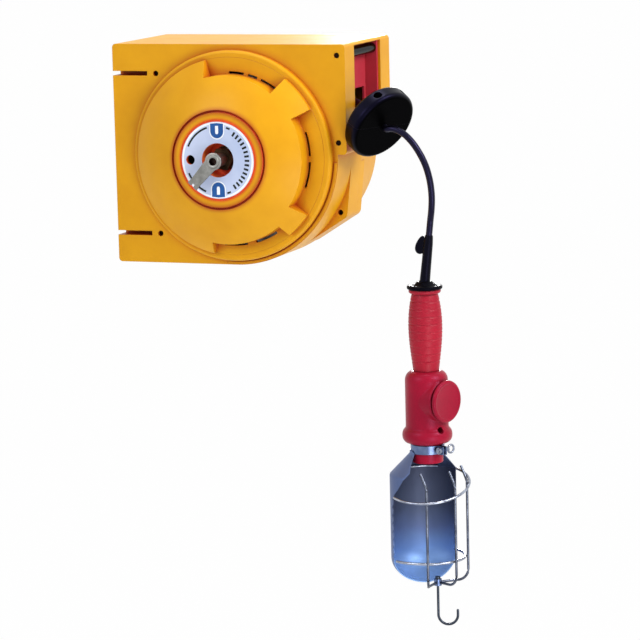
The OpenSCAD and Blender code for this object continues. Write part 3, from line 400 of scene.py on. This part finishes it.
# A wide pale floor far below the lamp; it shows almost as bright as the white behind it
bpy.ops.mesh.primitive_grid_add(x_subdivisions=2, y_subdivisions=2, size=90, location=(0.2, 20, -1.3))
floor = bpy.context.object
floor.name = "floor"
paper, tree, shader, place = start("pale_floor_paper")
shader.inputs["Base Color"].default_value = (0.9, 0.9, 0.9, 1)
shader.inputs["Roughness"].default_value = 0.8
glow = add(tree, "Emission", {"Color": WHITE, "Strength": 1.0})
share = add(tree, "Math", {"operation": "MULTIPLY", 1: 0.985}, {0: seen_plainly(tree)})
mixed = add(tree, "MixShader", links={0: share, 1: shader, 2: glow})
tree.links.new(mixed.outputs[0], tree.nodes["Material Output"].inputs["Surface"])
floor.data.materials.append(paper)


# ---------------------------------------------------------------- modelling helpers
def pick(*pieces):
    """Selects pieces and nothing else, and makes the first one active."""
    bpy.ops.object.select_all(action="DESELECT")
    for piece in pieces:
        piece.select_set(True)
    bpy.context.view_layer.objects.active = pieces[0]


def apply(piece, kind, **settings):
    """Adds a modifier to a piece and applies it at once."""
    pick(piece)
    modifier = piece.modifiers.new("step", kind)
    for name, value in settings.items():
        setattr(modifier, name, value)
    bpy.ops.object.modifier_apply(modifier="step")


def finish_piece(piece, name, body, material, slot, *replaced):
    """Names a piece, gives it its finish, and lets it ride on its body in place of the nodes replaced."""
    piece.name = piece.data.name = name
    piece.data.materials.clear()
    piece.data.materials.append(material)
    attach(piece, body)
    if replaced:
        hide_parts(*replaced)
    bpy.ops.object.select_all(action="DESELECT")
    return piece


def eased(points, step=2.5):
    """A smooth route through listed points in mm: Catmull-Rom, about step mm apart, in metres."""
    route = [Vector(p) for p in points]
    route = [2 * route[0] - route[1]] + route + [2 * route[-1] - route[-2]]
    fine = []
    for a, b, c, d in zip(route, route[1:], route[2:], route[3:]):
        count = max(2, round((c - b).length / step))
        for k in range(count):
            t = k / count
            fine.append(0.5 * (2 * b + (c - a) * t + (2 * a - 5 * b + 4 * c - d) * t ** 2
                               + (3 * b - a - 3 * c + d) * t ** 3))
    fine.append(route[-2])
    return [p * MM for p in fine]


def tube(points, radius_mm, sides=4):
    """A round tube with closed ends along points in metres, as a curve of one open spline."""
    curve = bpy.data.curves.new("tube", "CURVE")
    curve.dimensions = "3D"
    curve.bevel_depth, curve.bevel_resolution, curve.use_fill_caps = radius_mm * MM, sides, True
    spline = curve.splines.new("POLY")
    spline.points.add(len(points) - 1)
    for point, at in zip(spline.points, points):
        point.co = (*at, 1)
        point.radius = 1
    spline.use_smooth = True
    holder = bpy.data.objects.new("tube", curve)
    bpy.context.scene.collection.objects.link(holder)
    return holder


def joined(*pieces):
    """Joins pieces into one mesh."""
    pick(*pieces)
    bpy.ops.object.convert(target="MESH")
    bpy.ops.object.join()
    return bpy.context.object


def shape_from(name, points, edges=(), faces=()):
    """A new object from points, edges and faces, selected and active on its own."""
    mesh = bpy.data.meshes.new(name)
    mesh.from_pydata([tuple(p) for p in points], edges, faces)
    piece = bpy.data.objects.new(name, mesh)
    bpy.context.scene.collection.objects.link(piece)
    pick(piece)
    return piece


def turned(profile, steps=96, angle=360.0, start_angle=0.0):
    """A turned shape in mm: a profile of (radius, height) points spun round its own Z."""
    a = math.radians(start_angle)
    piece = shape_from("turned", [(r * math.cos(a), r * math.sin(a), z) for r, z in profile],
                       [(i, i + 1) for i in range(len(profile) - 1)])
    bpy.ops.object.mode_set(mode="EDIT")
    bpy.ops.mesh.select_all(action="SELECT")
    bpy.ops.mesh.spin(steps=steps, angle=math.radians(angle), center=(0, 0, 0), axis=(0, 0, 1))
    bpy.ops.mesh.select_all(action="SELECT")
    bpy.ops.mesh.remove_doubles(threshold=0.002)
    bpy.ops.mesh.normals_make_consistent(inside=False)
    bpy.ops.object.mode_set(mode="OBJECT")
    return piece


def plate(outline, thickness, soft):
    """A flat plate in mm on the XY plane, from a closed outline, with softened edges."""
    piece = shape_from("plate", [(x, y, 0) for x, y in outline], (), [tuple(range(len(outline)))])
    bpy.ops.object.mode_set(mode="EDIT")
    bpy.ops.mesh.select_all(action="SELECT")
    bpy.ops.mesh.extrude_region_move(TRANSFORM_OT_translate={"value": (0, 0, thickness)})
    bpy.ops.mesh.select_all(action="SELECT")
    bpy.ops.mesh.normals_make_consistent(inside=False)
    bpy.ops.object.mode_set(mode="OBJECT")
    apply(piece, "BEVEL", width=soft, segments=3, limit_method="ANGLE", angle_limit=math.radians(40))
    return piece


def pin(radius, low, high, place, steps=48):
    """A round cutter in mm along its own Z from low to high."""
    piece = turned([(0, low), (radius, low), (radius, high), (0, high)], steps)
    piece.data.transform(place)
    return piece


def cut(piece, cutter):
    """Cuts one mesh out of another and drops the cutter."""
    apply(piece, "BOOLEAN", operation="DIFFERENCE", object=cutter, solver="EXACT")
    bpy.data.objects.remove(cutter)


def settle(piece, place, angle=35):
    """Brings a piece drawn in mm to its place, in metres, and smooths it up to an edge angle."""
    piece.data.transform(Matrix.Scale(MM, 4) @ place)
    pick(piece)
    bpy.ops.object.shade_smooth_by_angle(angle=math.radians(angle))
    return piece


def rotated(degrees, axis):
    """A turn by degrees about one axis."""
    return Matrix.Rotation(math.radians(degrees), 4, axis)


# ---------------------------------------------------------------- cord
def on_stop(s):
    """A point of the stop's bore, s mm along from its middle."""
    return tuple(STOP + s * STOP_AXIS)


def on_sleeve(s):
    """A point of the sleeve's axis, s mm up from the lamp handle's cap."""
    return tuple(LAMP + s * Vector((math.sin(LEAN), 0, math.cos(LEAN))))


# Off the drum and out between the rollers, through the stop, over, and down into the sleeve
cord_route = [
    (156, -20, 72.6), (163, -20, 71.4), (178, -20.5, 68.9), (194, -21.2, 66.3), (211, -22.4, 63.6),
    (228, -24, 60.9), (244, -26.3, 58.4), (254, -28.8, 56.6), (262, -32, 54.6), (268, -36.2, 52.5),
    on_stop(-22), on_stop(-15), on_stop(-9), on_stop(9), on_stop(13),
    (313.6, -61.4, 29.4), (324.8, -62, 24.8), (334.6, -61.4, 15.4), (342.3, -60, 3.4), (347.4, -58.4, -8),
    (350.4, -56.6, -19.6), (352, -54.9, -31.4), (352.1, -52.8, -44), (350.6, -50.2, -56.4),
    on_sleeve(69), on_sleeve(62), on_sleeve(53)]
cord_path = eased(cord_route)
cord = finish_piece(tube(cord_path, CORD_R, 6), "cord", "housing", cord_black, "cord_jacket",
                    "cord_lead", "cord_free")

# The winding: its turns and their spacing, its radius, the middle of the drum, and points to each turn
TURNS, SPACING, WOUND_R, WOUND_Y, EACH_TURN = 10, 8.2, 67.78, -7, 60
winding_path = []
for i in range(TURNS * EACH_TURN + 1):
    a = math.radians(90 - 360 / EACH_TURN * i)
    y = WOUND_Y + SPACING * (i / EACH_TURN - TURNS / 2)
    winding_path.append(MM * Vector((DRUM.x + WOUND_R * math.cos(a), y, DRUM.z + WOUND_R * math.sin(a))))
finish_piece(tube(winding_path, CORD_R), "wound_cord", "drum", cord_black, "cord_jacket", "cord_winding")

# ---------------------------------------------------------------- cage wires
# The lamp's open side looks a little away from the housing's front
CAGE_PLACE = Matrix.Translation(LAMP) @ rotated(-28, "Z")
# Heights below the cap: top of the reflector, upper and lower ring, and foot of the wires
SHADE_TOP = -176.4
UPPER_RING, LOWER_RING, WIRE_FOOT = SHADE_TOP - 38.5, SHADE_TOP - 116.5, SHADE_TOP - 143
# Radius at which the wires stand and of their bend; the hook's bush, its radius and how far out it sits
CAGE_R, BEND_R, BUSH_R, BUSH_OUT = 41, 12, 4.3, 12
WIRE_ANGLES = (-46, 0, 46)
# The free upper ends: how far back they lean and how far above the ring, in mm
WIRE_HEAD = ((9, 18.6), (5.5, 13), (2.5, 8), (0.7, 4), (0, 0))


def at_lamp(r, angle, z):
    """A point in mm, at radius r and angle from the lamp's open side, z below its cap."""
    a = math.radians(angle)
    return CAGE_PLACE @ Vector((r * math.cos(a), r * math.sin(a), z))


bush = at_lamp(BUSH_OUT, 0, WIRE_FOOT)
back = CAGE_PLACE.to_3x3() @ Vector((-1, 0, 0))
bend = [(CAGE_R - BEND_R * (1 - math.cos(b)), WIRE_FOOT + BEND_R * (1 - math.sin(b)))
        for b in (math.radians(11.25 * k) for k in range(9))]
wires = []
for angle in WIRE_ANGLES:
    inner = at_lamp(CAGE_R - BEND_R, angle, WIRE_FOOT)
    route = [at_lamp(CAGE_R, angle, UPPER_RING + rise) + lean * back for lean, rise in WIRE_HEAD]
    route.append(at_lamp(CAGE_R, angle, (UPPER_RING + LOWER_RING) / 2))
    route += [at_lamp(r, angle, z) for r, z in bend]
    route.append(bush + (inner - bush).normalized() * BUSH_R)
    wires.append(tube(eased(route, 2), WIRE_R))
finish_piece(joined(*wires), "cage_wire_set", "cage", wire_steel, "cage_wire", "cage_wires")

# The upper ring sits askew outside the wires, the lower one inside them, and the third one inside the
# reflector's neck
UPPER_R, LOWER_R, NECK_R = 43.8, 38.2, 36.9
RING_TILT, RING_LOW = math.radians(15), math.radians(-56)
# The lower ring widens by so many mm towards its ends, from this angle on
LOWER_WIDENS, WIDENS_FROM, RING_HALF = 3.6, 55, 100
FRONT_ARC = range(-RING_HALF, RING_HALF + 1, 5)
droop = UPPER_R * math.tan(RING_TILT)
upper = [at_lamp(UPPER_R, a, UPPER_RING - droop * math.cos(math.radians(a) - RING_LOW)) for a in FRONT_ARC]
lower = [at_lamp(LOWER_R + LOWER_WIDENS * max(0, (abs(a) - WIDENS_FROM) / (RING_HALF - WIDENS_FROM)) ** 1.5,
                 a, LOWER_RING) for a in FRONT_ARC]
neck = [at_lamp(NECK_R, a, SHADE_TOP - 25.8) for a in range(120, 247, 6)]
rings = [tube(eased(points, 2), WIRE_R) for points in (upper, lower, neck)]
finish_piece(joined(*rings), "cage_ring_set", "cage", ring_steel, "cage_wire", "cage_rings")

# ---------------------------------------------------------------- lamp handle
AT_LAMP = Matrix.Translation(LAMP)
# Heights: the cap's underside, the end of the grip, the end of the body and the end of its neck
CAP_LOW, GRIP_END, BODY_END, NECK_END = -4.4, -91.4, -168.9, -189.9
# Place and turn of the switch, whose boss stands out sideways below the grip
SWITCH = AT_LAMP @ rotated(-21, "Z")
BOSS = SWITCH @ Matrix.Translation((0, 0, GRIP_END - 31)) @ rotated(90, "Y")
# Height of the grip's flange and length of its belly, and where the grooves lie along it
FLANGE, BELLY = 4.6, 82.4
GROOVES = range(8, 73, 8)
# Half width and depth of a groove, and how far the belly rises between grooves
GROOVE_HALF_W, GROOVE_DEPTH, SWELL = 0.75, 0.55, 0.25


def grip_radius(t):
    """Radius of the grip at the share t of its length: narrow at both ends, fullest above the middle."""
    return 13.6 + 4.4 * math.sin(math.pi * max(t, 0) ** 0.82)


profile = [(5, CAP_LOW), (15.6, CAP_LOW), (16.6, -4.8), (17, -5.6), (17, -7.2), (16.4, -8.2), (15.4, -8.8)]
for k in range(161):
    down = 0.3 + (BELLY - 0.3) * k / 160
    groove = sum(math.exp(-((down - at) / GROOVE_HALF_W) ** 2) for at in GROOVES)
    swell = SWELL * math.cos(2 * math.pi * (down - 4) / 8) if 8 < down < 72 else 0
    profile.append((grip_radius(down / BELLY) - GROOVE_DEPTH * groove - swell * 0.5, CAP_LOW - FLANGE - down))
profile += [(5, GRIP_END), (5, CAP_LOW)]
finish_piece(settle(turned(profile), AT_LAMP), "ringed_grip", "housing", grip_red, "grip_rubber", "hand_grip")

profile = [(5.6, CAP_LOW), (17.8, CAP_LOW), (18.5, -3.9), (18.8, -3), (18.8, -1.6), (18.4, -0.8),
           (17.4, -0.3), (15.6, -0.5), (13.4, -0.6), (11.4, 0.2), (9.6, 1.8), (8.2, 3.2), (7, 3.5),
           (5.6, 3.5), (5.6, CAP_LOW)]
finish_piece(settle(turned(profile), AT_LAMP), "end_cap", "housing", cap_black, "cap_rubber", "handle_cap")

# Strain relief with its leaf-shaped ear, blended into one moulding
LEAF_HALF_W, LEAF_HALF_H, LEAF_T = 5.4, 10, 3.2
leaning = Matrix.Rotation(LEAN, 4, "Y")
stem = turned([(0, 0.4), (5.3, 0.4), (5.5, 6), (5.3, 14), (5.1, 30), (4.9, 44), (4.5, 50), (4.1, 53),
               (0, 53)], 48)
stem.data.transform(leaning)
foot = turned([(0, -4.2), (5.5, -4.2), (5.6, 4.4), (0, 4.4)], 48)
leaf = []
for k in range(40):
    a = 2 * math.pi * k / 40
    leaf.append((LEAF_HALF_W * math.sin(a) * (1 - 0.3 * math.cos(a)), LEAF_HALF_H * math.cos(a)))
ear = plate(leaf, LEAF_T, 1.0)
ear.data.transform(leaning @ Matrix.Translation((-8.0, 1.6, 41.5)) @ rotated(8, "Y") @ rotated(90, "X"))
sleeve = joined(stem, foot, ear)
apply(sleeve, "REMESH", mode="VOXEL", voxel_size=0.45)
apply(sleeve, "SMOOTH", factor=0.5, iterations=4)
settle(sleeve, AT_LAMP, 60)
relief = finish_piece(sleeve, "strain_relief", "housing", sleeve_black, "cord_jacket", "cord_sleeve")

# Lamp body: barrel, beaded rim and neck, with the round switch boss blended in
quarter = [math.pi / 2 * k / 12 for k in range(13)]
profile = [(0, GRIP_END)] + [(13.6 + 9.2 * math.sin(a), GRIP_END - 10 * (1 - math.cos(a))) for a in quarter]
profile += [(22.8, -140), (22.8, -150), (23, -152.4), (24.2, -153.6), (25.5, -155.2), (26.4, -157.6),
            (26.7, -160.4), (26.4, -163.2), (25.3, -165.8), (23.4, -167.8), (20.5, BODY_END),
            (16.5, BODY_END), (16.5, NECK_END), (0, NECK_END)]
barrel = turned(profile, 128)
boss = turned([(0, 0), (22, 0), (22, 21.9), (21.4, 22.6), (20.6, 22.9), (0, 22.9)])
boss.data.transform(Matrix.Translation(-LAMP) @ BOSS)
shell = joined(barrel, boss)
apply(shell, "REMESH", mode="VOXEL", voxel_size=0.8)
apply(shell, "SMOOTH", factor=0.5, iterations=4)
# The bulb socket's bore, the switch's bore and the hole of the fixing screw
cut(shell, pin(14.9, -195, -144.9, Matrix.Identity(4), 96))
cut(shell, pin(4.05, 2, 40, Matrix.Translation(-LAMP) @ BOSS))
fixing = (Matrix.Translation(-LAMP) @ SWITCH @ Matrix.Translation((0, 0, BODY_END + 16))
          @ rotated(-14, "Z") @ rotated(90, "Y"))
cut(shell, pin(3.5, 16, 40, fixing))
finish_piece(settle(shell, AT_LAMP, 50), "lamp_barrel", "housing", lamp_red, "lamp_plastic", "lamp_body")

profile = [(0, 3.1), (17.4, 3.1), (18.4, 3.4), (19.2, 3.9), (20.4, 4), (21.5, 3.7), (22.2, 3), (22.5, 2),
           (22.5, 0.8), (22.1, 0.2), (21.5, 0), (4, 0), (4, -10.8), (3.4, -11.4), (0, -11.4)]
finish_piece(settle(turned(profile), BOSS @ Matrix.Translation((0, 0, 25.3))), "switch_button", "switch",
             lamp_red, "lamp_plastic", "switch_cap")

# ---------------------------------------------------------------- reflector
# One sheet, spun part of the way round: neck, cone, upright wall and a quarter-round foot
NECK_OUT, WALL_R, FOOT_H, SHEET_T = 18.8, 40.5, 28.5, 1.0
WALL_HIGH, WALL_LOW = SHADE_TOP - 28.5, SHADE_TOP - 116
WALL_ROWS = 44
SWEEP, SWEEP_START = 166, 256
profile = [(18.6, SHADE_TOP), (18.6, SHADE_TOP - 2), (NECK_OUT, SHADE_TOP - 3.8)]
profile += [(NECK_OUT + 21.7 * t, SHADE_TOP - 4 - 22.5 * t) for t in (k / 14 for k in range(1, 14))]
profile += [(40.2, SHADE_TOP - 26.2), (WALL_R, SHADE_TOP - 27.4)]
profile += [(WALL_R, WALL_HIGH + (WALL_LOW - WALL_HIGH) * k / WALL_ROWS) for k in range(WALL_ROWS + 1)]
profile += [(WALL_R * math.cos(a), WALL_LOW - FOOT_H * math.sin(a))
            for a in (math.pi / 2 * k / 20 for k in range(1, 21))]
shade = turned(profile, 70, SWEEP, SWEEP_START)
# One side edge wraps further round at the shoulder: extra degrees by depth below the neck
WRAP = [(0, 8), (8, 15), (20, 27), (30, 18), (39, 8), (46, -3), (60, -7), (150, -7)]
# The wrap is spread over the last stretch of the sheet, from this angle to its edge
WRAP_FROM, WRAP_OVER = 230, 26
# The upright edges are crimped into small waves: their depth and spacing in mm, and mm to a degree
WAVE_DEPTH, WAVE_EVERY, MM_A_DEGREE = 2.0, 9, 0.7


def wrap_at(drop):
    """Extra degrees of wrap at a depth below the neck."""
    for (d0, w0), (d1, w1) in zip(WRAP, WRAP[1:]):
        if d0 <= drop <= d1:
            return w0 + (w1 - w0) * (drop - d0) / (d1 - d0)
    return 0


def at_angle(r, angle, z):
    """A point at radius r, angle in degrees and height z."""
    return (r * math.cos(math.radians(angle)), r * math.sin(math.radians(angle)), z)


for vertex in shade.data.vertices:
    x, y, z = vertex.co
    r, a = math.hypot(x, y), math.degrees(math.atan2(y, x)) % 360
    edge = 1 if a < 92.5 else -1 if a > 253.5 else 0
    if a > WRAP_FROM and r > 1:
        a += (a - WRAP_FROM) / WRAP_OVER * wrap_at(SHADE_TOP - z)
        vertex.co = at_angle(r, a, z)
    if edge and r > 39 and WALL_LOW - 6 < z < SHADE_TOP - 50:
        depth = WAVE_DEPTH * max(0, math.sin(2 * math.pi * (z - WALL_LOW) / WAVE_EVERY)) ** 0.6
        vertex.co = at_angle(r, a + edge * depth / MM_A_DEGREE, z)
shade.data.transform(CAGE_PLACE)
apply(shade, "SOLIDIFY", thickness=SHEET_T, offset=0)
apply(shade, "BEVEL", width=0.25, segments=2, limit_method="ANGLE", angle_limit=math.radians(50))
finish_piece(settle(shade, Matrix.Identity(4), 40), "reflector_sheet", "cage", shade_steel, "reflector_steel",
             "reflector")

# ---------------------------------------------------------------- lever and shaft
# Both stand on the drum's axis, with their own Z out of the dial
FRONT_OUT = rotated(90, "X")
LEVER_Y, LEVER_T, LEVER_TURN, LEVER_R = -127.4, 2.6, 227, 9.2
SHAFT_Y = -130
outline = []
for k in range(25):
    a = math.radians(52 + 256 * k / 24)
    outline.append((LEVER_R * math.cos(a), LEVER_R * math.sin(a)))
# The far end has a notch between two prongs
outline += [(30, -5.9), (36.2, -6.4), (36.4, -1.9), (32.8, -1.2), (32.8, 1.2), (36.4, 1.9), (36.2, 6.4),
            (30, 5.9)]
lever = plate(outline, LEVER_T, 0.5)
cut(lever, pin(7, -5, 8, Matrix.Identity(4)))
lever_place = Matrix.Translation((DRUM.x, LEVER_Y, DRUM.z)) @ FRONT_OUT @ rotated(LEVER_TURN, "Z")
finish_piece(settle(lever, lever_place, 30), "notched_lever", "tension_shaft", steel_plain, "shaft_steel",
             "tension_lever")
profile = [(0, -6), (4.2, -6), (4.2, 0.6), (5, 1), (6.4, 1), (7, 0.4), (7, -190.5), (6.4, -193), (0, -193)]
shaft_place = Matrix.Translation((DRUM.x, SHAFT_Y, DRUM.z)) @ FRONT_OUT
finish_piece(settle(turned(profile, 64), shaft_place, 30), "bored_shaft", "tension_shaft", steel_plain,
             "shaft_steel", "main_shaft")

# ---------------------------------------------------------------- dial print
DIAL_FACE = -116.8
INK_T = 0.08


def dial_point(r, angle, lift=0.06):
    """A point of the dial face in metres; angles run anticlockwise as the dial is read."""
    a = math.radians(angle)
    return MM * Vector((DRUM.x + r * math.cos(a), DIAL_FACE - lift, DRUM.z + r * math.sin(a)))


def arc(r0, r1, a0, a1, step=3):
    """The outline of a band between two radii and two angles."""
    count = max(1, round(abs(a1 - a0) / step))
    angles = [a0 + (a1 - a0) * k / count for k in range(count + 1)]
    return [dial_point(r0, a) for a in angles] + [dial_point(r1, a) for a in reversed(angles)]


def tongue(side, half=7.3, outer=39.2, tip=23.2, lift=0.06):
    """A mark with a flat end at the rim and a round end inwards; side is 1 at the top, -1 below."""
    corner = math.sqrt(outer ** 2 - half ** 2)
    shape = []
    for k in range(13):
        a = math.radians(180 + 15 * k)
        shape.append((half * math.cos(a), tip + half + half * math.sin(a)))
    shape += [(half, corner), (0, outer), (-half, corner)]
    return [MM * Vector((DRUM.x + x, DIAL_FACE - lift, DRUM.z + side * z)) for x, z in shape]


def printed(outlines, name, material):
    """Thin printed shapes on the dial, each drawn as an outline of dial points and given a little body."""
    points, faces = [], []
    for outline in outlines:
        faces.append(tuple(range(len(points), len(points) + len(outline))))
        points += outline
    piece = shape_from(name, points, (), faces)
    bpy.ops.object.mode_set(mode="EDIT")
    bpy.ops.mesh.select_all(action="SELECT")
    bpy.ops.mesh.normals_make_consistent(inside=False)
    bpy.ops.object.mode_set(mode="OBJECT")
    apply(piece, "SOLIDIFY", thickness=INK_T * MM, offset=0)
    finish_piece(piece, name, "housing", material, "dial_label")


# Screen-printed inks on the label: blue signs with a white border, black arcs and ticks
ink_film = {"grain_mm": 3, "depth_mm": 0.002, "edge_mm": 0.05}
ink_blue = moulded("blue_ink", "#1E5CA4", "#17498A", 0.35, **ink_film)
ink_black = moulded("black_ink", "#1A2224", "#12181A", 0.4, **ink_film)
ink_white = moulded("white_border", "#F2F6FA", "#E8EEF6", 0.35, **ink_film)
BOTH_SIDES = (1, -1)
# Spans of the plain arcs, and the places and half width of the ticks, in degrees
ARC_SPANS = ((108, 157), (203, 247), (66, 73), (-74, -67))
TICKS, TICK_HALF = range(-56, 57, 8), 1.9
border = [tongue(side, 8.4, 39.8, 21.9, lift=0.07) for side in BOTH_SIDES]
printed([arc(38.2, 40.2, a, a + 90) for a in (0, 90, 180, 270)] + border, "dial_rim", ink_white)
printed([tongue(side, lift=0.16) for side in BOTH_SIDES], "dial_tongues", ink_blue)
printed([arc(34.9, 36.9, *span) for span in ARC_SPANS]
        + [arc(30.6, 35.8, a - TICK_HALF, a + TICK_HALF) for a in TICKS], "dial_arcs", ink_black)
printed([tongue(side, 1.7, 36.2, 27.5, lift=0.24) for side in BOTH_SIDES], "dial_slots", ink_white)
